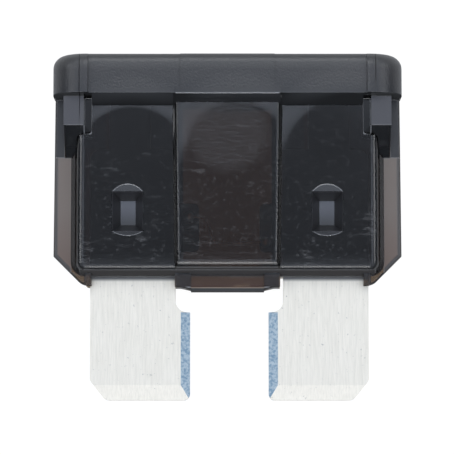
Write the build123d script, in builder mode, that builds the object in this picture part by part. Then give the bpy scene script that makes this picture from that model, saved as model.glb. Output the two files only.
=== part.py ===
from build123d import *
from math import degrees, radians, tan
import os

# A blade fuse for a vehicle's fuse box, lying on its back on a flat surface.
# X runs across the two blades, Y from the blade tips up to the head, and Z out of the front face.
# The origin is the middle of the fuse's footprint, on the surface that it lies on.
# The front and the back are the same, mirrored about the plane of the metal strip.
# Sizes are in millimetres.

# Overall
overall_width = 19.0
overall_height = 18.7
head_depth = 5.1

# Head: two thick rounded ends, two thinner grips and a pad in the middle
head_height = 2.18
head_corner_radius = 1.8
head_edge_radius = 0.5
head_end_edge_radius = 0.7
grip_depth = 4.6
grip_span = 15.1
pad_depth = 4.8
pad_width = 5.1

# Side walls over the terminals
wall_width = 16.84
wall_depth = 3.2
wall_height = 9.865
wall_edge_radius = 0.42
wall_corner_radius = 0.76
wall_draft = 11.0
wall_root_reach = 0.1
wall_root_height = 0.25
notch_inner_width = 14.66
notch_outer_width = 17.1
notch_height = 2.18
notch_slope_height = 0.08
notch_inner_radius = 0.3
notch_outer_radius = 0.65

# Raised middle over the link chamber
chamber_wall_depth = 3.9
chamber_wall_top = 5.6
chamber_wall_bottom = 5.3
chamber_wall_lift = 0.34
chamber_wall_corner = 0.75
chamber_wall_edge = 0.2
chamber_wall_end_radius = 0.55
chamber_wall_slope = 30.0
chamber_wall_root = 0.3

# Thin web in the plane of the strip, with the two side fins
web_width = 18.92
web_top_width = 18.78
web_depth = 0.9
web_edge_radius = 0.15
web_drop = 0.41
fin_chamfer = 1.565
fin_chamfer_radius = 0.8

# Feet and cheeks on either side of each blade, and the tongue between the cheeks
foot_depth = 2.0
foot_outer_width = 15.5
foot_inner_width = 14.72
foot_corner = 0.2
foot_drop = 0.06
cheek_outer_width = 5.7
cheek_drop = 0.1
cheek_step_width = 5.1
cheek_step_drop = 0.12
tongue_width = 3.97
tongue_depth = 1.25
tongue_drop = 0.345
tongue_edge_radius = 0.25

# Gussets that carry the ends of the head
gusset_depth = 3.8
gusset_face_inner = 15.56
gusset_width = 17.74
gusset_height = 1.695
gusset_ramp = 1.635
gusset_groove_depth = 1.0
gusset_groove_end = 0.45
gusset_overlap = 0.4

# Coves where the walls meet the underside of the head
wall_cove = 0.6
chamber_cove = 0.38

# Link chamber and terminal pockets
chamber_width = 4.8
chamber_depth = 2.1
chamber_floor = 0.6
chamber_roof = 0.7
pocket_clearance = 0.05
pocket_side_clearance = 0.15
pocket_roof_clearance = 0.1
probe_lead_in = 0.2

# Stakes: a four-sided pit in each wall that pushes a boss into the terminal
stake_width = 1.68
stake_height = 2.18
stake_slope = 0.44
stake_pit_depth = 1.0
stake_rise = 3.48
stake_x = 5.4
stake_lip_radius = 3.5
stake_upper_lip = 0.42
stake_lower_lip = 0.25
stake_lip_root = 0.2
stake_boss_gap = 0.12
stake_boss_slope = 0.1

# Terminals
strip_thickness = 0.65
strip_shift = 0.1
blade_width = 5.42
blade_spacing = 9.68
neck_width = 4.62
neck_length = 1.475
neck_radius = 0.65
tip_bevel_height = 0.82
tip_bevel_cut = 0.17
side_bevel_width = 0.5
side_bevel_cut = 0.17
tip_cut_width = 0.85
tip_cut_height = 1.06
tip_cut_radius = 0.45
tip_inner_radius = 0.35
shoulder_rise = 6.945
shoulder_radius = 0.6
probe_tab_width = 2.2
probe_tab_x = 5.41
probe_tab_recess = 0.6
stake_hole_width = 1.3
stake_hole_height = 1.85
stake_hole_radius = 0.2
lug_reach = 1.28
lug_height = 2.6
lug_rise = 2.695
lug_radius = 0.3

# Fuse wire and its solder joints
wire_diameter = 0.08
wire_lift = 0.02
joint_x = 2.07
left_joint_rise = 3.305
right_joint_rise = 1.905
wire_high_x = -1.16
wire_high_rise = 3.145
wire_low_x = -0.72
wire_low_rise = 1.765
wire_high_radius = 0.35
wire_low_radius = 0.52
solder_radius = 0.3
solder_height = 0.22

# How far a cutting shape runs past the face that it cuts
overrun = 1.0

# Levels and planes that follow from the sizes. Each rise is measured up from the walls' bottom edge.
mid_z = head_depth / 2
top_y = overall_height / 2
tip_y = -overall_height / 2
head_base_y = top_y - head_height
wall_bottom_y = head_base_y - wall_height
web_bottom_y = wall_bottom_y - web_drop
tongue_bottom_y = web_bottom_y - tongue_drop
stake_y = wall_bottom_y + stake_rise
shoulder_y = wall_bottom_y + shoulder_rise
lug_low_y = wall_bottom_y + lug_rise - lug_height / 2
lug_high_y = lug_low_y + lug_height
left_joint_y = wall_bottom_y + left_joint_rise
right_joint_y = wall_bottom_y + right_joint_rise
wire_high_y = wall_bottom_y + wire_high_rise
wire_low_y = wall_bottom_y + wire_low_rise
buried = head_height / 2
strip_plane = Plane.XY.offset(mid_z)
side_plane = Plane(origin=(0, 0, mid_z), x_dir=(0, 1, 0), z_dir=(1, 0, 0))
head_plane = Plane(origin=(0, head_base_y, mid_z), x_dir=(1, 0, 0), z_dir=(0, 1, 0))
blade_inner_x = (blade_spacing - blade_width) / 2
blade_outer_x = (blade_spacing + blade_width) / 2
neck_inner_x = blade_outer_x - neck_width
pocket_x = (neck_inner_x + blade_outer_x) / 2
neck_foot_y = web_bottom_y - neck_length
notch_inner_x = notch_inner_width / 2
notch_outer_x = notch_outer_width / 2
notch_y = head_base_y - notch_height
notch_foot_y = notch_y - notch_slope_height
chamber_floor_y = wall_bottom_y + chamber_floor
chamber_top_y = top_y - chamber_roof
lug_tip_x = neck_inner_x - lug_reach
tab_top_y = top_y - probe_tab_recess
strip_back_z = mid_z - strip_thickness / 2
strip_face_z = mid_z + strip_thickness / 2
wire_z = strip_face_z + wire_lift + wire_diameter / 2
pocket_depth = strip_thickness + 2 * pocket_clearance
pocket_width = neck_width + 2 * pocket_side_clearance
slot_width = probe_tab_width + 2 * pocket_side_clearance
slot_gap = (foot_inner_width - cheek_outer_width) / 2
slot_x = (foot_inner_width + cheek_outer_width) / 4
foot_y = web_bottom_y - foot_drop
cheek_y = web_bottom_y - cheek_drop

# Head


def head_bar(width, depth):
    """A straight length of the head, with its long top edges rounded."""
    with BuildPart() as bar:
        with BuildSketch(head_plane):
            Rectangle(width, depth)
        extrude(amount=head_height)
        fillet(bar.edges().filter_by(Axis.X).group_by(Axis.Y)[-1], head_edge_radius)
    return bar.part


def cove(width, depth, radius):
    """A hollow fillet between the underside of the head and a wall, at the front and at the back."""
    face_z = depth / 2
    with BuildPart() as bead:
        with BuildSketch(side_plane):
            with BuildLine():
                Polyline(
                    (head_base_y, face_z + radius),
                    (head_base_y + radius, face_z + radius),
                    (head_base_y + radius, face_z - radius),
                    (head_base_y - radius, face_z - radius),
                    (head_base_y - radius, face_z),
                )
                RadiusArc((head_base_y - radius, face_z), (head_base_y, face_z + radius), radius)
            make_face()
            mirror(about=Plane.XZ)
        extrude(amount=width / 2, both=True)
    return bead.part


# The two rounded ends, at the full depth of the fuse.
with BuildPart() as head_ends:
    with BuildSketch(head_plane):
        RectangleRounded(overall_width, head_depth, head_corner_radius)
    extrude(amount=head_height)
    fillet(head_ends.faces().sort_by(Axis.Y)[-1].edges(), head_end_edge_radius)
    with BuildSketch(head_plane):
        Rectangle(grip_span, head_depth)
    extrude(amount=head_height, mode=Mode.SUBTRACT)


# Walls

# Both side walls in one block, drafted in to the front and to the back, with rounded rims.
with BuildPart() as walls:
    with BuildSketch(strip_plane) as wall_outline:
        with Locations((0, (wall_bottom_y + head_base_y + buried) / 2)):
            Rectangle(wall_width, head_base_y + buried - wall_bottom_y)
        fillet(wall_outline.vertices().group_by(Axis.Y)[0], wall_corner_radius)
    extrude(amount=wall_depth / 2, both=True, taper=wall_draft)
    fillet(walls.faces().filter_by(Axis.Z).edges().filter_by(
        lambda edge: edge.center().Y < head_base_y), wall_edge_radius)
    # The notch under each end of the head, with a rounded shoulder at its foot.
    with BuildSketch(Plane.XY.offset(mid_z - wall_depth)) as notch_outline:
        with BuildLine():
            Polyline(
                (notch_inner_x, head_base_y + head_height),
                (notch_inner_x, notch_y),
                (notch_outer_x, notch_foot_y),
                (notch_outer_x, notch_foot_y - notch_outer_radius),
                (overall_width, notch_foot_y - notch_outer_radius),
                (overall_width, head_base_y + head_height),
                close=True,
            )
        make_face()
        notch_corners = {
            (notch_inner_x, notch_y): notch_inner_radius,
            (notch_outer_x, notch_foot_y): notch_outer_radius,
        }
        for corner, radius in notch_corners.items():
            fillet(notch_outline.vertices().sort_by_distance((*corner, 0))[0], radius)
        mirror(about=Plane.YZ)
    extrude(amount=2 * wall_depth, mode=Mode.SUBTRACT)

# The sloping foot of the walls, where they rise from the web.
with BuildPart() as wall_root:
    root_low_y = wall_bottom_y + wall_root_reach
    root_high_y = notch_foot_y - notch_outer_radius
    with BuildSketch(Plane.XY.offset(mid_z + web_depth / 2)) as root_outline:
        with Locations((0, (root_low_y + root_high_y) / 2)):
            Rectangle(wall_width + 2 * wall_root_reach, root_high_y - root_low_y)
        fillet(root_outline.vertices().group_by(Axis.Y)[0], wall_corner_radius)
    extrude(amount=wall_root_height, taper=45)


def chamber_wall():
    """The raised middle of one face, with sloped sides and a rounded lower end."""
    root_z = wall_depth / 2 - chamber_wall_root
    face_z = chamber_wall_depth / 2
    rise = face_z - root_z
    flare = rise * tan(radians(chamber_wall_slope))
    low_y = wall_bottom_y + chamber_wall_lift
    high_y = head_base_y + buried
    with BuildPart() as raised:
        with BuildSketch(Plane.XY.offset(mid_z + root_z)) as outline:
            with BuildLine():
                Polyline(
                    (-chamber_wall_bottom / 2 - flare, low_y - flare),
                    (chamber_wall_bottom / 2 + flare, low_y - flare),
                    (chamber_wall_top / 2 + flare, high_y),
                    (-chamber_wall_top / 2 - flare, high_y),
                    close=True,
                )
            make_face()
            fillet(outline.vertices().group_by(Axis.Y)[0], chamber_wall_corner)
        extrude(amount=rise, taper=chamber_wall_slope)
        fillet(raised.faces().sort_by(Axis.Z)[-1].edges(), chamber_wall_edge)
        with BuildSketch(side_plane) as profile:
            with BuildLine():
                Polyline(
                    (low_y, root_z),
                    (low_y, face_z),
                    (high_y, face_z),
                    (high_y, root_z),
                    close=True,
                )
            make_face()
            fillet(profile.vertices().sort_by_distance((low_y, face_z, 0))[0], chamber_wall_end_radius)
        extrude(amount=wall_width, both=True, mode=Mode.INTERSECT)
    return raised.part


# Web

# The thin web in the plane of the strip, with its lower corners cut away and rounded.
with BuildPart() as web:
    with BuildSketch(strip_plane) as web_outline:
        with BuildLine():
            Polyline(
                (-web_width / 2 + fin_chamfer, web_bottom_y),
                (web_width / 2 - fin_chamfer, web_bottom_y),
                (web_width / 2, web_bottom_y + fin_chamfer),
                (web_top_width / 2, head_base_y + buried),
                (-web_top_width / 2, head_base_y + buried),
                (-web_width / 2, web_bottom_y + fin_chamfer),
                close=True,
            )
        make_face()
        fillet(web_outline.vertices().group_by(Axis.Y)[0], fin_chamfer_radius)
    extrude(amount=web_depth / 2, both=True)
    web_rims = web.faces().filter_by(Axis.Z)
    fillet(web_rims.edges().filter_by(
        lambda edge: edge.center().Y < head_base_y + buried / 2), web_edge_radius)
    # The web stops at the walls where a blade comes out.
    with BuildSketch(strip_plane):
        with Locations((-slot_x, web_bottom_y), (slot_x, web_bottom_y)):
            Rectangle(slot_gap, 2 * web_drop)
    extrude(amount=web_depth, both=True, mode=Mode.SUBTRACT)

# A foot outside each blade and a cheek inside it.
with BuildPart() as feet:
    with BuildSketch(strip_plane) as foot_outline:
        with BuildLine():
            Polyline(
                (foot_inner_width / 2, foot_y),
                (foot_outer_width / 2, foot_y),
                (foot_outer_width / 2, wall_bottom_y + web_drop),
                (foot_inner_width / 2, wall_bottom_y + web_drop),
                close=True,
            )
        make_face()
        fillet(foot_outline.vertices().sort_by_distance((foot_outer_width / 2, foot_y, 0))[0], foot_corner)
        with BuildLine():
            Polyline(
                (cheek_outer_width / 2, cheek_y),
                (cheek_step_width / 2, cheek_y),
                (tongue_width / 2, cheek_y - cheek_step_drop),
                (tongue_width / 2, wall_bottom_y + web_drop),
                (cheek_outer_width / 2, wall_bottom_y + web_drop),
                close=True,
            )
        make_face()
        mirror(about=Plane.YZ)
    extrude(amount=foot_depth / 2, both=True)

# The tongue that closes the middle of the opening, between the cheeks.
with BuildPart() as tongue:
    with BuildSketch(side_plane) as tongue_profile:
        with BuildLine():
            Polyline(
                (tongue_bottom_y, -tongue_depth / 2),
                (tongue_bottom_y, tongue_depth / 2),
                (wall_bottom_y + web_drop, tongue_depth / 2),
                (wall_bottom_y + web_drop, -tongue_depth / 2),
                close=True,
            )
        make_face()
        fillet(tongue_profile.vertices().group_by(Axis.Y)[0], tongue_edge_radius)
    extrude(amount=tongue_width / 2, both=True)


# Gussets

# The gusset under the right end of the head: a block with a ramp down to the fin.
with BuildPart() as gusset:
    root_x = notch_inner_x - gusset_overlap
    face_y = head_base_y - gusset_height
    with BuildSketch(Plane(origin=(0, face_y - gusset_ramp, mid_z), x_dir=(1, 0, 0), z_dir=(0, 1, 0))):
        with BuildLine():
            Polyline(
                (root_x, 0),
                (gusset_width / 2, 0),
                (gusset_width / 2, gusset_depth / 2),
                (root_x, gusset_depth / 2),
                close=True,
            )
        make_face()
        mirror(about=Plane.XZ)
    extrude(amount=gusset_ramp + gusset_height + buried)
    with BuildSketch(side_plane):
        with BuildLine():
            Polyline(
                (face_y - gusset_ramp, 0),
                (face_y - gusset_ramp, web_depth / 2),
                (face_y, gusset_depth / 2),
                (head_base_y + buried, gusset_depth / 2),
                (head_base_y + buried, 0),
                close=True,
            )
        make_face()
        mirror(about=Plane.XZ)
    extrude(amount=web_width, both=True, mode=Mode.INTERSECT)
    # The groove between the gusset and the wall, closed at its lower end by a slanting face.
    with BuildSketch(Plane.XY.offset(mid_z + gusset_groove_depth)):
        with BuildLine():
            Polyline(
                (root_x, face_y - gusset_groove_end),
                (notch_inner_x, face_y - gusset_groove_end),
                (gusset_face_inner / 2, face_y),
                (gusset_face_inner / 2, head_base_y + buried),
                (root_x, head_base_y + buried),
                close=True,
            )
        make_face()
    groove = extrude(amount=head_depth, mode=Mode.SUBTRACT)
    mirror(groove, about=strip_plane, mode=Mode.SUBTRACT)


# Stakes


def stake_pit(x):
    """The four-sided pit that a stake leaves in the front face of a wall."""
    with BuildPart() as pit:
        with BuildSketch(Plane.XY.offset(mid_z + wall_depth / 2 - stake_pit_depth)):
            with Locations((x, stake_y)):
                Rectangle(stake_width - 2 * stake_slope, stake_height - 2 * stake_slope)
        with BuildSketch(Plane.XY.offset(mid_z + wall_depth / 2)):
            with Locations((x, stake_y)):
                Rectangle(stake_width, stake_height)
        loft()
    return pit.part


def stake_lip(x, side, reach):
    """The lip of plastic that the stake pushes up beyond the end of its pit, with an arc for its outer edge."""
    edge_y = stake_y + side * stake_height / 2
    arc_radius = ((stake_width / 2) ** 2 + reach**2) / (2 * reach)
    face_z = mid_z + wall_depth / 2
    ball_z = face_z - (stake_lip_radius**2 - arc_radius**2) ** 0.5
    with BuildPart() as lip:
        with Locations((x, edge_y - side * (arc_radius - reach), ball_z)):
            Sphere(stake_lip_radius)
        split(bisect_by=Plane.XY.offset(face_z - stake_lip_root), keep=Keep.TOP)
        split(bisect_by=Plane(origin=(x, edge_y, face_z), x_dir=(1, 0, 0), z_dir=(0, side, 0)), keep=Keep.TOP)
    return lip.part


def stake_boss(x):
    """The boss that a stake raises inside the wall, into the hole in the terminal."""
    base_z = mid_z + pocket_depth / 2
    rise = pocket_depth / 2 - stake_boss_gap / 2
    width = stake_hole_width - 2 * pocket_side_clearance
    height = stake_hole_height - 2 * pocket_clearance
    with BuildPart() as boss:
        with BuildSketch(Plane.XY.offset(base_z)):
            with Locations((x, stake_y)):
                Rectangle(width, height)
        with BuildSketch(Plane.XY.offset(base_z - rise)):
            with Locations((x, stake_y)):
                Rectangle(width - 2 * stake_boss_slope, height - 2 * stake_boss_slope)
        loft()
        with BuildSketch(Plane.XY.offset(base_z)):
            with Locations((x, stake_y)):
                Rectangle(width, height)
        extrude(amount=stake_boss_gap)
    return boss.part


# Hollows

# The link chamber, from its floor up into the head.
with BuildPart() as chamber:
    with BuildSketch(strip_plane):
        with Locations((0, (chamber_floor_y + chamber_top_y) / 2)):
            Rectangle(chamber_width, chamber_top_y - chamber_floor_y)
    extrude(amount=chamber_depth / 2, both=True)

# The pockets for the terminals: the blade's way in, the side slot for the lug, and the probe slot.
with BuildPart() as pockets:
    with BuildSketch(strip_plane):
        with Locations((pocket_x, (tip_y + shoulder_y + pocket_roof_clearance) / 2)):
            Rectangle(pocket_width, shoulder_y + pocket_roof_clearance - tip_y)
        lug_slot_top = lug_high_y + pocket_roof_clearance
        with Locations((chamber_width / 2, (chamber_floor_y + lug_slot_top) / 2)):
            Rectangle(2 * (neck_inner_x - chamber_width / 2), lug_slot_top - chamber_floor_y)
        with Locations((probe_tab_x, (shoulder_y + top_y + overrun) / 2)):
            Rectangle(slot_width, top_y + overrun - shoulder_y)
        mirror(about=Plane.YZ)
    extrude(amount=pocket_depth / 2, both=True)


def probe_mouth(x):
    """The bevelled mouth of a probe slot, in the top of the head."""
    with BuildPart() as mouth:
        with BuildSketch(Plane(origin=(x, top_y, mid_z), x_dir=(1, 0, 0), z_dir=(0, 1, 0))):
            Rectangle(slot_width + 2 * probe_lead_in, pocket_depth + 2 * probe_lead_in)
        extrude(amount=-probe_lead_in, taper=45)
    return mouth.part


# Housing

left_gusset = gusset.part.mirror(Plane.YZ)
front_chamber_wall = chamber_wall()
back_chamber_wall = front_chamber_wall.mirror(strip_plane)
left_pit = stake_pit(-stake_x)
right_pit = stake_pit(stake_x)
left_boss = stake_boss(-stake_x)
right_boss = stake_boss(stake_x)
lips = [stake_lip(x, side, reach) for x in (-stake_x, stake_x)
    for side, reach in ((1, stake_upper_lip), (-1, stake_lower_lip))]

with BuildPart() as housing:
    add(walls.part)
    add(wall_root.part)
    add(wall_root.part.mirror(strip_plane))
    add(web.part)
    add(head_ends.part)
    add(head_bar(grip_span, grip_depth))
    add(head_bar(pad_width, pad_depth))
    add(front_chamber_wall)
    add(back_chamber_wall)
    add(cove(notch_inner_width, wall_depth, wall_cove))
    add(cove(chamber_wall_top, chamber_wall_depth, chamber_cove))
    add(feet.part)
    add(tongue.part)
    add(gusset.part)
    add(left_gusset)
    for lip in lips:
        add(lip)
        add(lip.mirror(strip_plane))
    add(chamber.part, mode=Mode.SUBTRACT)
    add(pockets.part, mode=Mode.SUBTRACT)
    add(probe_mouth(-probe_tab_x), mode=Mode.SUBTRACT)
    add(probe_mouth(probe_tab_x), mode=Mode.SUBTRACT)
    for pit in (left_pit, right_pit):
        add(pit, mode=Mode.SUBTRACT)
        add(pit.mirror(strip_plane), mode=Mode.SUBTRACT)
    for boss in (left_boss, right_boss):
        add(boss)
        add(boss.mirror(strip_plane))


# Terminals

# One flat stamping with its blade, neck, lug and probe tab, as the right one.
with BuildPart() as right_blade:
    with BuildSketch(Plane.XY.offset(strip_back_z)) as blank:
        with BuildLine():
            Polyline(
                (blade_inner_x, tip_y),
                (blade_outer_x - tip_cut_width, tip_y),
                (blade_outer_x, tip_y + tip_cut_height),
                (blade_outer_x, shoulder_y),
                (probe_tab_x + probe_tab_width / 2, shoulder_y),
                (probe_tab_x + probe_tab_width / 2, tab_top_y),
                (probe_tab_x - probe_tab_width / 2, tab_top_y),
                (probe_tab_x - probe_tab_width / 2, shoulder_y),
                (neck_inner_x, shoulder_y),
                (neck_inner_x, lug_high_y),
                (lug_tip_x, lug_high_y),
                (lug_tip_x, lug_low_y),
                (neck_inner_x, lug_low_y),
                (neck_inner_x, neck_foot_y),
                (blade_inner_x, neck_foot_y),
                close=True,
            )
        make_face()
        corners = {corner: radius for corner, radius in (
            ((blade_inner_x, tip_y), tip_inner_radius),
            ((blade_outer_x - tip_cut_width, tip_y), tip_cut_radius),
            ((blade_outer_x, tip_y + tip_cut_height), tip_cut_radius),
            ((blade_outer_x, shoulder_y), shoulder_radius),
            ((lug_tip_x, lug_high_y), lug_radius),
            ((lug_tip_x, lug_low_y), lug_radius),
            ((neck_inner_x, neck_foot_y), neck_radius),
        )}
        for corner, radius in corners.items():
            fillet(blank.vertices().sort_by_distance((*corner, 0))[0], radius)
        with Locations((stake_x, stake_y)):
            RectangleRounded(stake_hole_width, stake_hole_height, stake_hole_radius, mode=Mode.SUBTRACT)
    extrude(amount=strip_thickness)
    # The long bevels across the tip, front and back.
    with BuildSketch(side_plane):
        with BuildLine():
            Polyline(
                (tip_y, strip_thickness / 2),
                (tip_y + tip_bevel_height, strip_thickness / 2),
                (tip_y, strip_thickness / 2 - tip_bevel_cut),
                close=True,
            )
        make_face()
        mirror(about=Plane.XZ)
    extrude(amount=overall_width, mode=Mode.SUBTRACT)
    # The bevels down the inner edge, front and back.
    with BuildSketch(Plane(origin=(0, tip_y, mid_z), x_dir=(1, 0, 0), z_dir=(0, 1, 0))):
        with BuildLine():
            Polyline(
                (blade_inner_x, strip_thickness / 2),
                (blade_inner_x + side_bevel_width, strip_thickness / 2),
                (blade_inner_x, strip_thickness / 2 - side_bevel_cut),
                close=True,
            )
        make_face()
        mirror(about=Plane.XZ)
    extrude(amount=neck_foot_y - tip_y, mode=Mode.SUBTRACT)

# Both terminals sit a little to the right of the middle of the housing.
right_blank = right_blade.part.moved(Location((strip_shift, 0, 0)))
left_blank = right_blade.part.mirror(Plane.YZ).moved(Location((strip_shift, 0, 0)))

with BuildPart() as right_terminal:
    add(right_blank)

with BuildPart() as left_terminal:
    add(left_blank)


# Fuse wire


def solder_joint(x, y):
    """A low dome of solder on the face of a lug."""
    ball_radius = (solder_radius**2 + solder_height**2) / (2 * solder_height)
    with BuildPart() as dome:
        with Locations((x, y, strip_face_z + solder_height - ball_radius)):
            Sphere(ball_radius)
        split(bisect_by=Plane.XY.offset(strip_face_z), keep=Keep.TOP)
    return dome.part


with BuildPart() as left_solder:
    add(solder_joint(-joint_x, left_joint_y))

with BuildPart() as right_solder:
    add(solder_joint(joint_x, right_joint_y))


def wire_run(edge):
    """One straight or curved run of the wire."""
    start = edge % 0
    turn = start.cross(edge % 1).Z
    with BuildPart() as run:
        with BuildSketch(Plane(origin=edge @ 0, z_dir=start)):
            Circle(wire_diameter / 2)
        if edge.geom_type == GeomType.LINE:
            extrude(amount=edge.length)
        else:
            revolve(axis=Axis(edge.arc_center, (0, 0, turn)), revolution_arc=degrees(edge.length / edge.radius))
    return run.part


# The wire bows across the link chamber, just in front of the lugs, from one solder joint to the other.
with BuildPart() as fuse_wire:
    with BuildLine(Plane.XY.offset(wire_z), mode=Mode.PRIVATE) as route:
        Polyline(
            (-joint_x, left_joint_y),
            (wire_high_x, wire_high_y),
            (wire_low_x, wire_low_y),
            (joint_x, right_joint_y),
        )
        fillet(route.vertices().sort_by_distance((wire_high_x, wire_high_y, wire_z))[0], wire_high_radius)
        fillet(route.vertices().sort_by_distance((wire_low_x, wire_low_y, wire_z))[0], wire_low_radius)
    for edge in route.edges():
        add(wire_run(edge))
    add(left_solder.part, mode=Mode.SUBTRACT)
    add(right_solder.part, mode=Mode.SUBTRACT)


# Export

os.makedirs("parts", exist_ok=True)
housing.part.label = "housing"
left_terminal.part.label = "left_terminal"
right_terminal.part.label = "right_terminal"
fuse_wire.part.label = "fuse_wire"
left_solder.part.label = "left_solder"
right_solder.part.label = "right_solder"
export_step(housing.part, "parts/housing.step")
export_step(left_terminal.part, "parts/left_terminal.step")
export_step(right_terminal.part, "parts/right_terminal.step")
export_step(fuse_wire.part, "parts/fuse_wire.step")
export_step(left_solder.part, "parts/left_solder.step")
export_step(right_solder.part, "parts/right_solder.step")
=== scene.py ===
import math
from collections import namedtuple
import bpy
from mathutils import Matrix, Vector


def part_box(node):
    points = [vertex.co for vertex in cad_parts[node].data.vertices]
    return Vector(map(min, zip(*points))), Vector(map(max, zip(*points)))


# A blade fuse that lies on its back, seen as in its photograph.
# Lengths are in metres. X runs across the two blades, Y up to the head and Z out of the front face.

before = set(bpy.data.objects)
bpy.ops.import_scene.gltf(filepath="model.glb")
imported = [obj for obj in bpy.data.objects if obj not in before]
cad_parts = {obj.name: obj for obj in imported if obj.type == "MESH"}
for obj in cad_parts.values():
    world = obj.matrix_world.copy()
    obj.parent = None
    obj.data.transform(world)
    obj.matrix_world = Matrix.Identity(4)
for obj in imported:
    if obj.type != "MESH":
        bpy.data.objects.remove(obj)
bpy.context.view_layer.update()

MM = 0.001


def mm(*sizes):
    """Sizes that are given in millimetres, in metres."""
    return tuple(size * MM for size in sizes)


def around(middle, half):
    """The two ends of a span, from its middle and half its width."""
    return middle - half, middle + half


def rgb(red, green, blue):
    """An opaque colour."""
    return red, green, blue, 1


# The plane of the metal and the foot of the head
housing_low, housing_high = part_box("housing")
MID_Z = (housing_low.z + housing_high.z) / 2
HEAD_HEIGHT = 2.18 * MM
HEAD_BASE = housing_high.y - HEAD_HEIGHT


# Camera

# The photograph looks at the front face, tilted 6 degrees towards the blade tips.
VIEW_TILT = math.radians(6.0)
VIEW_DISTANCE = 150 * MM
NEAREST = 1 * MM
AIM_Y = 0.045 * MM
PIXELS_PER_MM = 18.34
IMAGE_SIDE = 455
HALF_PIXEL = 0.5
SENSOR = 36.0
aim = Vector((0, AIM_Y, MID_Z))


def add_camera():
    data = bpy.data.cameras.new("camera")
    data.sensor_width = SENSOR
    data.lens = SENSOR * PIXELS_PER_MM * VIEW_DISTANCE / MM / IMAGE_SIDE
    data.clip_start = NEAREST
    # The photograph's middle lies half a pixel from the point that the camera aims at.
    data.shift_y = HALF_PIXEL / IMAGE_SIDE
    camera = bpy.data.objects.new("camera", data)
    bpy.context.scene.collection.objects.link(camera)
    camera.location = aim + VIEW_DISTANCE * Vector((0, -math.sin(VIEW_TILT), math.cos(VIEW_TILT)))
    camera.rotation_euler = (VIEW_TILT, 0, 0)
    bpy.context.scene.camera = camera


add_camera()


# Node helpers

# Half the width of the change where one place passes into the next, and where one lean does.
BLUR = 0.03 * MM
LEAN_BLUR = 0.05

# Faces that meet at more than this angle keep a crisp edge.
CREASE = math.radians(28)


def socket(sockets, identifier):
    """The one of a mix node's sockets that belongs to a kind of data, as several have the same name."""
    return next(entry for entry in sockets if entry.identifier == identifier)


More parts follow.
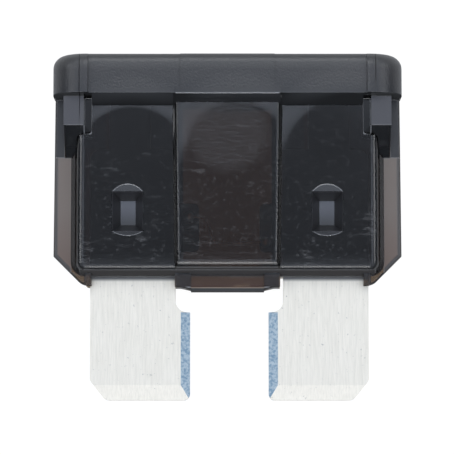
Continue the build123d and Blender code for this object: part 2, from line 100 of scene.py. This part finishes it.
class Material:
    """A node material with short calls for the few nodes that the surfaces share."""

    def __init__(self, name):
        self.material = bpy.data.materials.new(name)
        self.material.use_nodes = True
        self.nodes = self.material.node_tree.nodes
        self.links = self.material.node_tree.links
        self.shader = self.nodes["Principled BSDF"]
        self.output = self.nodes["Material Output"]
        coordinates = self.nodes.new("ShaderNodeTexCoord")
        self.place = coordinates.outputs["Object"]
        self.leaning = coordinates.outputs["Normal"]

    def link(self, source, target):
        self.links.new(source, target)

    def set(self, **values):
        """Sets sockets of the shader, with _ for a space in a socket's name."""
        for name, value in values.items():
            self.shader.inputs[name.replace("_", " ")].default_value = value

    def put(self, target, value):
        """Feeds a socket from another one, or with a fixed value."""
        if isinstance(value, bpy.types.NodeSocket):
            self.link(value, target)
        else:
            target.default_value = value

    def math(self, operation, *values):
        node = self.nodes.new("ShaderNodeMath")
        node.operation = operation
        for target, value in zip(node.inputs, values):
            self.put(target, value)
        return node.outputs[0]

    def product(self, first, *others):
        """Several values multiplied, or where every one of several masks holds."""
        for other in others:
            first = self.math("MULTIPLY", first, other)
        return first

    def split(self, vector):
        node = self.nodes.new("ShaderNodeSeparateXYZ")
        self.link(vector, node.inputs[0])
        return node.outputs

    def vector_math(self, operation, first, second=None):
        node = self.nodes.new("ShaderNodeVectorMath")
        node.operation = operation
        self.link(first, node.inputs[0])
        if second:
            node.inputs[1].default_value = second
        return node

    def scaled(self, vector, scale):
        return self.vector_math("MULTIPLY", vector, scale).outputs["Vector"]

    def noise(self, scale, detail=4.0, roughness=0.55):
        node = self.nodes.new("ShaderNodeTexNoise")
        if isinstance(scale, tuple):
            self.link(self.scaled(self.place, scale), node.inputs["Vector"])
            node.inputs["Scale"].default_value = 1.0
        else:
            self.link(self.place, node.inputs["Vector"])
            node.inputs["Scale"].default_value = scale
        node.inputs["Detail"].default_value = detail
        node.inputs["Roughness"].default_value = roughness
        return node.outputs["Fac"]

    def ramp(self, value, low, high, out_low=0.0, out_high=1.0, shape="LINEAR"):
        """Goes from one output to the other as a value goes from low to high, and stays there beyond."""
        node = self.nodes.new("ShaderNodeMapRange")
        node.interpolation_type = shape
        self.link(value, node.inputs["Value"])
        node.inputs["From Min"].default_value = low
        node.inputs["From Max"].default_value = high
        node.inputs["To Min"].default_value = out_low
        node.inputs["To Max"].default_value = out_high
        return node.outputs[0]

    def mix(self, factor, first, second, kind="Color"):
        """Two colours, or two vectors, in the share that a factor gives."""
        node = self.nodes.new("ShaderNodeMix")
        node.data_type = {"Color": "RGBA", "Vector": "VECTOR"}[kind]
        self.put(socket(node.inputs, "Factor_Float"), factor)
        self.put(socket(node.inputs, "A_" + kind), first)
        self.put(socket(node.inputs, "B_" + kind), second)
        return socket(node.outputs, "Result_" + kind)

    def above(self, value, limit, blur=BLUR):
        """A mask for the values above a limit."""
        return self.ramp(value, *around(limit, blur))

    def below(self, value, limit, blur=BLUR):
        """A mask for the values below a limit."""
        return self.ramp(value, *around(limit, blur), out_low=1.0, out_high=0.0)

    def within(self, value, limits, blur=BLUR):
        """A mask for the values between two limits."""
        low, high = limits
        return self.product(self.above(value, low, blur), self.below(value, high, blur))

    def rings(self, centre, radii):
        """Rises smoothly from 0 to 1 between two circles about a point of the front face."""
        flat = self.scaled(self.place, (1, 1, 0))
        distance = self.vector_math("DISTANCE", flat, (*centre, 0)).outputs["Value"]
        return self.ramp(distance, *radii, shape="SMOOTHSTEP")

    def leant(self, where, z, along_y=0.0, normal=None):
        """A normal, turned where a mask holds to face outwards and, by a share, along Y."""
        slant = self.nodes.new("ShaderNodeCombineXYZ")
        slant.inputs["Y"].default_value = along_y
        self.link(self.math("SIGN", self.math("SUBTRACT", z, MID_Z)), slant.inputs["Z"])
        turn = self.nodes.new("ShaderNodeVectorTransform")
        turn.vector_type = "NORMAL"
        turn.convert_from = "OBJECT"
        turn.convert_to = "WORLD"
        self.link(slant.outputs[0], turn.inputs[0])
        normal = normal or self.nodes.new("ShaderNodeNewGeometry").outputs["Normal"]
        blend = self.mix(where, normal, turn.outputs[0], kind="Vector")
        return self.vector_math("NORMALIZE", blend).outputs["Vector"]

    def bump(self, height, depth, normal=None):
        node = self.nodes.new("ShaderNodeBump")
        node.inputs["Strength"].default_value = 1.0
        node.inputs["Distance"].default_value = depth
        self.link(height, node.inputs["Height"])
        if normal:
            self.link(normal, node.inputs["Normal"])
        return node.outputs[0]


def dress(node, material):
    """Gives a CAD node its material and smooth shading with crisp edges."""
    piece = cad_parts[node]
    piece.data.materials.clear()
    piece.data.materials.append(material)
    piece.data.shade_smooth()
    piece.data.set_sharp_from_angle(angle=CREASE)


# The housing's plastic

# Places on the housing. An X is measured from the middle to either side, and a RISE from the plane of the
# metal towards the front and the back alike.
COVE_Y = (6.45 * MM, HEAD_BASE + 0.04 * MM)
HEAD_FOOT_Y = (7.02 * MM, HEAD_BASE + 0.02 * MM)
GRIP_RISE = 2.28 * MM
UNDERSIDE_Y = -2.25 * MM
GUSSET_X = mm(7.76, 9.0)
GUSSET_Y = (5.46 * MM, HEAD_BASE)
GUSSET_RISE = 1.825 * MM
FIN_TOP = 3.84 * MM
FIN_X = 8.5 * MM
EAR_X = 8.88 * MM
GROOVE_X = (7.38 * MM, GUSSET_X[0])
GROOVE_Y = (5.0 * MM, HEAD_BASE)
STAKE_X = 5.4 * MM
STAKE_Y = 0.785 * MM
PIT_X = around(STAKE_X, 0.86 * MM)
PIT_Y = around(STAKE_Y, 1.115 * MM)
PIT_RISE = mm(0.5, 1.57)
PIT_FLOOR_RISE = mm(0.5, 0.63)
PIT_RIM_RISE = mm(1.52, 1.6)
LIP_Y = mm(-0.7, 2.4)
LIP_RISE = 1.61 * MM
TONGUE_X = 1.98 * MM
TONGUE_Y = mm(-3.3, -2.72)
UNDER_EDGE_Y = mm(-3.6, -3.28)
WALL_END_X = 8.5 * MM
WALL_END_Y = -1.75 * MM
WALL_RISE = 1.525 * MM

# The frame of each fin, a painted shade along its rounded edges: the X of its side edge, the Y where the line
# of its cut corner meets the middle of the fuse, and how wide the frame is.
FIN_EDGE_X = 9.46 * MM
FIN_CUT_Y = -11.0 * MM
FIN_FRAME_WIDTH = 0.22 * MM
DIAGONAL = math.cos(math.radians(45))

# The round patch of the middle wall that is rippled and a little rougher: its centre, and the two radii
# between which it fades.
DISC_CENTRE = mm(0.0, 5.0)
DISC_RADII = mm(1.6, 2.7)

# Half the width of the change at the edge of a place, where it isn't BLUR.
HEAD_BLUR = 0.01 * MM
GRIP_BLUR = 0.02 * MM
UNDERSIDE_BLUR = 0.05 * MM
GUSSET_BLUR = 0.025 * MM
PIT_RIM_BLUR = 0.02 * MM
LIP_BLUR = 0.01 * MM
WALL_END_BLUR = 0.4 * MM
WALL_BLUR = 0.025 * MM
FIN_FRAME_BLUR = 0.04 * MM

# How far the coves and the faces towards the blade tips lean along Y.
COVE_LEAN = -0.11
UNDERSIDE_LEAN = -0.8

# Where a tone or the wear changes along the fuse, from its first value to its second. The head has painted
# shade at its foot and painted light at its top edge, and the pit floors have a painted reflection.
HEAD_FOOT_SHADE_Y = (HEAD_BASE, 8.2 * MM)
HEAD_TOP_LIGHT_Y = mm(8.4, 9.2)
FIN_TONE_Y = mm(1.0, -2.5)
PIT_FLOOR_SHEEN_Y = mm(0.1, 1.2)
WEAR_Y = mm(6.5, -2.5)

# The upper part of each panel of the wall falls away outside a ring. These are the panel's two sides, the
# ring's centre, and the two radii between which the wall falls.
PANEL_FALLS = (
    (mm(-8.0, -2.9), mm(-5.2, 3.5), mm(2.9, 4.7)),
    (mm(-2.9, 2.9), mm(0.6, 4.0), mm(2.6, 4.4)),
    (mm(2.9, 8.0), mm(6.7, 3.6), mm(3.4, 5.2)),
)
FALL_Y = mm(3.4, 4.8)

# Depths of the relief, and how far above its base the head's grain is full
FALL_DEPTH = 0.11 * MM
WAVE_DEPTH = 0.04 * MM
RIPPLE_DEPTH = 0.012 * MM
SCRATCH_DEPTH = 0.0005 * MM
GRAIN_DEPTH = 0.02 * MM
GRAIN_FADE = 0.3 * MM

# Scales of the noises, per metre: one number, or one each for X, Y and Z, and the middle of their values
WAVE_SCALE = 180
RIPPLE_SCALE = (1800, 6000, 1800)
SCRATCH_SCALE = (1500, 5200, 1500)
GRAIN_SCALE = 9000
DUST_SCALE = 3600
SMEAR_SCALE = (1100, 3600, 1100)
PATCH_SCALE = 420
NOISE_MIDDLE = 0.5

# The two levels of a noise, or of the facing angle, between which an effect sets in
STEEP_LEVELS = (0.12, 0.5)
DUST_LEVELS = (0.56, 0.74)
SMEAR_LEVELS = (0.55, 0.72)
PATCH_LEVELS = (0.45, 0.65)

# The plastic: its index, the roughness of its clear walls, how much of the lips mirrors as the face does, and
# the colour and strength with which it takes up light.
PLASTIC_IOR = 1.58
WALL_ROUGHNESS = 0.05
LIP_FLATNESS = 0.75
SMOKE_COLOUR = rgb(0.48, 0.335, 0.08)
SMOKE_DENSITY = 4000

# The finish of one place, or the painted light or shade put there: its mask, its tone, the share of light
# that its skin stops, and how much rougher it is than a clear wall.
Finish = namedtuple("Finish", "place tone veil rough", defaults=(None, 0.0, 0.0))


class HousingPlaces:
    """Masks for the places of the housing that have a finish, or painted light or shade, of their own."""

    def __init__(self, skin):
        self.x, self.y, self.z = skin.split(skin.place)
        self.rise = skin.math("ABSOLUTE", skin.math("SUBTRACT", self.z, MID_Z))
        x = skin.math("ABSOLUTE", self.x)
        y = self.y
        rise = self.rise
        lean = skin.split(skin.leaning)["Y"]

        self.head = skin.above(y, HEAD_BASE, HEAD_BLUR)
        slopes = skin.product(skin.within(y, COVE_Y), skin.below(lean, COVE_LEAN, LEAN_BLUR))
        grip_foot = skin.product(skin.within(y, HEAD_FOOT_Y), skin.below(rise, GRIP_RISE, GRIP_BLUR))
        self.cove = skin.math("MAXIMUM", slopes, grip_foot)
        self.underside = skin.product(
            skin.below(y, UNDERSIDE_Y, UNDERSIDE_BLUR), skin.below(lean, UNDERSIDE_LEAN, LEAN_BLUR))
        self.gusset = skin.product(
            skin.within(x, GUSSET_X), skin.within(y, GUSSET_Y), skin.above(rise, GUSSET_RISE, GUSSET_BLUR))
        self.ear = skin.product(skin.above(x, EAR_X), skin.within(y, (FIN_TOP, HEAD_BASE)))
        self.groove = skin.product(skin.within(x, GROOVE_X), skin.within(y, GROOVE_Y))
        self.tongue = skin.product(skin.below(x, TONGUE_X), skin.within(y, TONGUE_Y))
        self.under_edge = skin.within(y, UNDER_EDGE_Y)
        self.wall_end = skin.product(skin.below(x, WALL_END_X), skin.below(y, WALL_END_Y, WALL_END_BLUR))
        self.disc = skin.math("SUBTRACT", 1.0, skin.rings(DISC_CENTRE, DISC_RADII))

        self.pit = skin.product(skin.within(x, PIT_X), skin.within(y, PIT_Y), skin.within(rise, PIT_RISE))
        self.pit_floor = skin.product(self.pit, skin.within(rise, PIT_FLOOR_RISE))
        self.pit_rim = skin.product(self.pit, skin.within(rise, PIT_RIM_RISE, PIT_RIM_BLUR))
        self.lip = skin.product(
            skin.within(x, PIT_X), skin.within(y, LIP_Y), skin.above(rise, LIP_RISE, LIP_BLUR))

        self.fin = skin.product(skin.above(x, FIN_X), skin.below(y, FIN_TOP))
        from_side = skin.math("SUBTRACT", FIN_EDGE_X, x)
        past_cut = skin.math("SUBTRACT", skin.math("SUBTRACT", y, FIN_CUT_Y), x)
        from_cut = skin.product(past_cut, DIAGONAL)
        from_edge = skin.math("MINIMUM", from_side, from_cut)
        self.fin_frame = skin.product(self.fin, skin.below(from_edge, FIN_FRAME_WIDTH, FIN_FRAME_BLUR))


def housing_finishes_and_painted_light(skin, at):
    """The finish, or painted light and shade, of each place, where a later tone covers an earlier one."""
    # Painted shade and light: the head is darker towards its foot and lighter at its top edge, as if lit from
    # above.
    foot_to_grip = skin.ramp(at.y, *HEAD_FOOT_SHADE_Y)
    head_shaded_foot = skin.mix(foot_to_grip, rgb(0.015, 0.016, 0.019), rgb(0.03, 0.029, 0.03))
    head = skin.mix(skin.ramp(at.y, *HEAD_TOP_LIGHT_Y), head_shaded_foot, rgb(0.095, 0.092, 0.086))
    fin = skin.mix(skin.ramp(at.y, *FIN_TONE_Y), rgb(0.62, 0.55, 0.5), rgb(0.46, 0.33, 0.27))
    # Painted reflection: the pit floors get a bluish sheen that grows towards their top.
    pit_floor = skin.mix(
        skin.ramp(at.y, *PIT_FLOOR_SHEEN_Y), rgb(0.06, 0.063, 0.07), rgb(0.17, 0.18, 0.21))
    return (
        Finish(at.head, tone=head, veil=0.8, rough=0.3),
        Finish(at.gusset, tone=rgb(0.075, 0.075, 0.085), veil=0.6, rough=0.38),
        # Painted shade: the web beside each gusset is painted near black and mostly opaque.
        Finish(at.ear, tone=rgb(0.02, 0.02, 0.022), veil=0.6, rough=0.3),
        # Painted shade: the coves and the foot of the grips under the head are painted near black and opaque.
        Finish(at.cove, tone=rgb(0.01, 0.01, 0.01), veil=0.9),
        Finish(at.fin, tone=fin, veil=0.19, rough=0.3),
        # Painted shade: a darker frame along the rounded edges of the fins.
        Finish(at.fin_frame, tone=rgb(0.09, 0.085, 0.08), veil=0.5),
        # Painted shade: the pits are painted dark and mostly opaque.
        Finish(at.pit, tone=rgb(0.036, 0.036, 0.038), veil=0.7, rough=0.3),
        Finish(at.pit_floor, tone=pit_floor),
        # Painted highlight: a light grey line round the rim of each pit.
        Finish(at.pit_rim, tone=rgb(0.11, 0.11, 0.115), veil=0.4),
        # Painted shade: the groove beside each gusset is painted near black and opaque.
        Finish(at.groove, tone=rgb(0.01, 0.01, 0.01), veil=0.9),
        Finish(at.tongue, tone=rgb(1.0, 0.72, 0.45)),
        # Painted shade: a dark strip along the housing's lowest, rounded edge at the foot of the tongue.
        Finish(at.under_edge, tone=rgb(0.03, 0.032, 0.032), veil=0.85, rough=0.5),
        Finish(at.lip, tone=rgb(0.03, 0.03, 0.032), veil=0.6, rough=0.15),
        # Painted shade: the faces towards the blade tips are painted dark brown and mostly opaque.
        Finish(at.underside, tone=rgb(0.05, 0.045, 0.042), veil=0.8),
        Finish(at.wall_end, rough=0.2),
        Finish(at.disc, rough=0.15),
    )


def housing_colour(skin, finishes):
    """Clear walls, darkened by painted shade where they are steep and their plastic is seen edge on, under
    the tones.
    """
    facing = skin.nodes.new("ShaderNodeLayerWeight").outputs["Facing"]
    colour = skin.mix(skin.ramp(facing, *STEEP_LEVELS), rgb(1, 1, 1), rgb(0.02, 0.02, 0.022))
    for finish in finishes:
        if finish.tone is not None:
            colour = skin.mix(finish.place, colour, finish.tone)
    return colour


def housing_veil(skin, at, finishes):
    """The share of light that the surface stops, with dust and smears that grow towards the blades."""
    dust = skin.ramp(skin.noise(DUST_SCALE, roughness=0.75), *DUST_LEVELS, out_high=0.05)
    smears = skin.ramp(skin.noise(SMEAR_SCALE, roughness=0.7), *SMEAR_LEVELS, out_high=0.07)
    patches = skin.ramp(skin.noise(PATCH_SCALE, detail=2.0), *PATCH_LEVELS)
    wear = skin.math("ADD", dust, skin.product(smears, patches))
    veil = skin.product(wear, skin.ramp(at.y, *WEAR_Y, out_low=0.5, out_high=1.2))
    for finish in finishes:
        veil = skin.math("MAXIMUM", veil, skin.product(finish.place, finish.veil))
    return veil


def housing_roughness(skin, finishes):
    roughness = WALL_ROUGHNESS
    for finish in finishes:
        roughness = skin.math("MULTIPLY_ADD", finish.place, finish.rough, roughness)
    return roughness


def housing_falls(skin, at):
    """How far the front and back walls have fallen away towards the top corners of each panel."""
    falls = 0.0
    for panel_x, centre, radii in PANEL_FALLS:
        panel = skin.product(skin.rings(centre, radii), skin.within(at.x, panel_x))
        falls = skin.math("ADD", falls, panel)
    return skin.product(falls, skin.ramp(at.y, *FALL_Y), skin.above(at.rise, WALL_RISE, WALL_BLUR))


def housing_normal(skin, at):
    """The relief, from the broad falls of the walls down to the grain of the head."""
    # The coves and the faces towards the blade tips mirror as chamfers of 45 degrees do, and the lips almost
    # as the face does.
    normal = skin.leant(skin.math("MAXIMUM", at.cove, at.underside), at.z, along_y=-1.0)
    normal = skin.leant(skin.product(at.lip, LIP_FLATNESS), at.z, normal=normal)
    normal = skin.bump(skin.math("SUBTRACT", 1.0, housing_falls(skin, at)), FALL_DEPTH, normal)
    normal = skin.bump(skin.noise(WAVE_SCALE, detail=1.0), WAVE_DEPTH, normal)
    normal = skin.bump(skin.product(skin.noise(RIPPLE_SCALE, detail=3.0), at.disc), RIPPLE_DEPTH, normal)
    normal = skin.bump(skin.noise(SCRATCH_SCALE, detail=2.0, roughness=0.6), SCRATCH_DEPTH, normal)
    # The grain is centred on 0 and fades in above the head's base, so that no step shows there.
    grain = skin.math("SUBTRACT", skin.noise(GRAIN_SCALE, detail=2.0), NOISE_MIDDLE)
    grain = skin.product(grain, skin.ramp(at.y, HEAD_BASE, HEAD_BASE + GRAIN_FADE))
    return skin.bump(grain, GRAIN_DEPTH, normal)


def smoky_plastic():
    """Dark translucent plastic: glossy walls, and a head with the fine grain of an eroded mould."""
    skin = Material("smoky_plastic")
    skin.set(IOR=PLASTIC_IOR)
    at = HousingPlaces(skin)
    finishes = housing_finishes_and_painted_light(skin, at)
    passed = skin.math("SUBTRACT", 1.0, housing_veil(skin, at, finishes))
    skin.link(housing_colour(skin, finishes), skin.shader.inputs["Base Color"])
    skin.link(passed, skin.shader.inputs["Transmission Weight"])
    skin.link(housing_roughness(skin, finishes), skin.shader.inputs["Roughness"])
    skin.link(housing_normal(skin, at), skin.shader.inputs["Normal"])

    absorb = skin.nodes.new("ShaderNodeVolumeAbsorption")
    absorb.inputs["Color"].default_value = SMOKE_COLOUR
    absorb.inputs["Density"].default_value = SMOKE_DENSITY
    skin.link(absorb.outputs[0], skin.output.inputs["Volume"])
    return skin.material


# The metals

# Where the strip has painted shade (inside the housing, and a painted contact shadow just below it), how far
# the bevels lean sideways, and the brushing, pits and frost: their depth, their scales per metre, and the two
# levels between which each sets in.
SHADED_STRIP_Y = (-2.84 * MM, HEAD_BASE)
STRIP_SHADE_BLUR = 0.08 * MM
BEVEL_LEAN = (0.2, 0.6)
BRUSH_DEPTH = 0.004 * MM
BRUSH_SCALE = (13000, 900, 13000)
SPECK_SCALE = 4200
FROST_SCALE = 7000
BRUSH_LEVELS = (0.3, 0.7)
SPECK_LEVELS = (0.64, 0.74)
FROST_LEVELS = (0.35, 0.6)


def strip_metal():
    """Bright strip, brushed along the blades, with dark pits, frosted bevels that carry a painted bluish
    reflection, and painted shade where the housing covers it.
    """
    skin = Material("strip_metal")
    skin.set(Metallic=0.75)
    y = skin.split(skin.place)["Y"]
    lean = skin.math("ABSOLUTE", skin.split(skin.leaning)["X"])
    brushing = skin.noise(BRUSH_SCALE, roughness=0.6)
    colour = skin.mix(skin.ramp(brushing, *BRUSH_LEVELS), rgb(0.74, 0.7, 0.61), rgb(0.84, 0.79, 0.69))
    specks = skin.ramp(skin.noise(SPECK_SCALE, detail=3.0, roughness=0.7), *SPECK_LEVELS, out_high=0.8)
    colour = skin.mix(specks, colour, rgb(0.35, 0.34, 0.32))
    # Painted reflection: the bevels get a bluish tint, as if they mirrored a blue surrounding, over a frosted
    # mottle.
    frosting = skin.ramp(skin.noise(FROST_SCALE, detail=3.0), *FROST_LEVELS)
    frost_and_reflection = skin.mix(frosting, rgb(0.18, 0.28, 0.37), rgb(0.42, 0.5, 0.55))
    colour = skin.mix(skin.within(lean, BEVEL_LEAN, LEAN_BLUR), colour, frost_and_reflection)
    # Painted shade: the strip is dull grey inside the housing, and a painted contact shadow runs just below
    # it.
    colour = skin.mix(skin.within(y, SHADED_STRIP_Y, STRIP_SHADE_BLUR), colour, rgb(0.15, 0.15, 0.15))
    roughness = skin.ramp(brushing, *BRUSH_LEVELS, out_low=0.55, out_high=0.42)
    skin.link(colour, skin.shader.inputs["Base Color"])
    skin.link(roughness, skin.shader.inputs["Roughness"])
    skin.link(skin.bump(brushing, BRUSH_DEPTH), skin.shader.inputs["Normal"])
    return skin.material


def plain_metal(name, **values):
    """A metal that shows only as a thin line or a small bead through the plastic."""
    skin = Material(name)
    skin.set(**values)
    return skin.material


strip = strip_metal()
solder = plain_metal("solder_metal", Metallic=1.0, Base_Color=rgb(0.7, 0.7, 0.7), Roughness=0.35)
wire = plain_metal("wire_metal", Metallic=0.6, Base_Color=rgb(1.0, 0.75, 0.5), Roughness=0.4)
for node, material in (
    ("housing", smoky_plastic()),
    ("left_terminal", strip),
    ("right_terminal", strip),
    ("fuse_wire", wire),
    ("left_solder", solder),
    ("right_solder", solder),
):
    dress(node, material)


# Stage

FLOOR_HALF = 0.6
PAPER_COLOUR = rgb(0.5, 0.5, 0.5)
PAPER_GLOW = 1.1

# How much of the paper's glow each kind of ray sees, instead of the lit and shaded paper.
GLOW_SHARES = (("Is Camera Ray", 0.9), ("Is Glossy Ray", 0.25), ("Is Transmission Ray", 0.38))


def floor_material():
    """White paper: plain white to the camera, and dimmer in reflections and through the plastic."""
    skin = Material("floor")
    skin.set(Base_Color=PAPER_COLOUR, Roughness=0.9, Specular_IOR_Level=0.0)
    glow = skin.nodes.new("ShaderNodeEmission")
    glow.inputs["Strength"].default_value = PAPER_GLOW
    path = skin.nodes.new("ShaderNodeLightPath")
    glowing = 0.0
    for ray, share in GLOW_SHARES:
        glowing = skin.math("MAXIMUM", glowing, skin.product(path.outputs[ray], share))
    blend = skin.nodes.new("ShaderNodeMixShader")
    for target, source in zip(blend.inputs, (glowing, skin.shader.outputs[0], glow.outputs[0])):
        skin.link(source, target)
    skin.link(blend.outputs[0], skin.output.inputs["Surface"])
    return skin.material


def add_floor():
    mesh = bpy.data.meshes.new("floor")
    corners = [(-FLOOR_HALF, -FLOOR_HALF, 0), (FLOOR_HALF, -FLOOR_HALF, 0),
               (FLOOR_HALF, FLOOR_HALF, 0), (-FLOOR_HALF, FLOOR_HALF, 0)]
    mesh.from_pydata(corners, [], [(0, 1, 2, 3)])
    mesh.materials.append(floor_material())
    floor = bpy.data.objects.new("floor", mesh)
    bpy.context.scene.collection.objects.link(floor)


# A studio sky: a dim patch overhead, a bright ring round it, and a dark horizon. Each stop is the sine of the
# elevation and the brightness there.
SKY = (
    (0.0, 0.08), (0.2, 0.16), (0.5, 0.7), (0.9, 0.85),
    (0.965, 1.5), (0.98, 1.2), (0.989, 0.5), (1.0, 0.38),
)
SKY_TINT = (0.87, 0.96, 1.13)
SKY_STRENGTH = 2.0


def add_sky():
    world = bpy.data.worlds.new("world")
    bpy.context.scene.world = world
    world.use_nodes = True
    nodes = world.node_tree.nodes
    links = world.node_tree.links
    direction = nodes.new("ShaderNodeTexCoord").outputs["Generated"]
    sine = nodes.new("ShaderNodeSeparateXYZ")
    links.new(direction, sine.inputs[0])
    ramp = nodes.new("ShaderNodeValToRGB")
    links.new(sine.outputs["Z"], ramp.inputs["Fac"])
    stops = ramp.color_ramp.elements
    for position, _ in SKY[1:-1]:
        stops.new(position)
    for stop, (_, brightness) in zip(stops, SKY):
        stop.color = (*(brightness / SKY_STRENGTH * tint for tint in SKY_TINT), 1)
    background = nodes["Background"]
    background.inputs["Strength"].default_value = SKY_STRENGTH
    links.new(ramp.outputs["Color"], background.inputs["Color"])


# Square area lamps that face the fuse: each one's name, the direction that it stands in, its side and power.
LAMP_DISTANCE = 0.5
LAMPS = (
    ("back_lamp", (0, 0.7, 1.0), 0.22, 0.33),
    ("front_lamp", (0, -1.0, 1.0), 0.2, 0.48),
    ("left_lamp", (-1.0, 0.1, 0.8), 0.22, 0.25),
    ("right_lamp", (1.0, 0.1, 0.8), 0.22, 0.25),
)


def add_lamp(name, direction, side, power):
    data = bpy.data.lights.new(name, "AREA")
    data.size = side
    data.energy = power
    lamp = bpy.data.objects.new(name, data)
    bpy.context.scene.collection.objects.link(lamp)
    offset = Vector(direction).normalized() * LAMP_DISTANCE
    lamp.location = aim + offset
    lamp.rotation_euler = offset.to_track_quat("Z", "Y").to_euler()


add_floor()
add_sky()
for lamp_values in LAMPS:
    add_lamp(*lamp_values)

bpy.context.scene.view_settings.view_transform = "Standard"
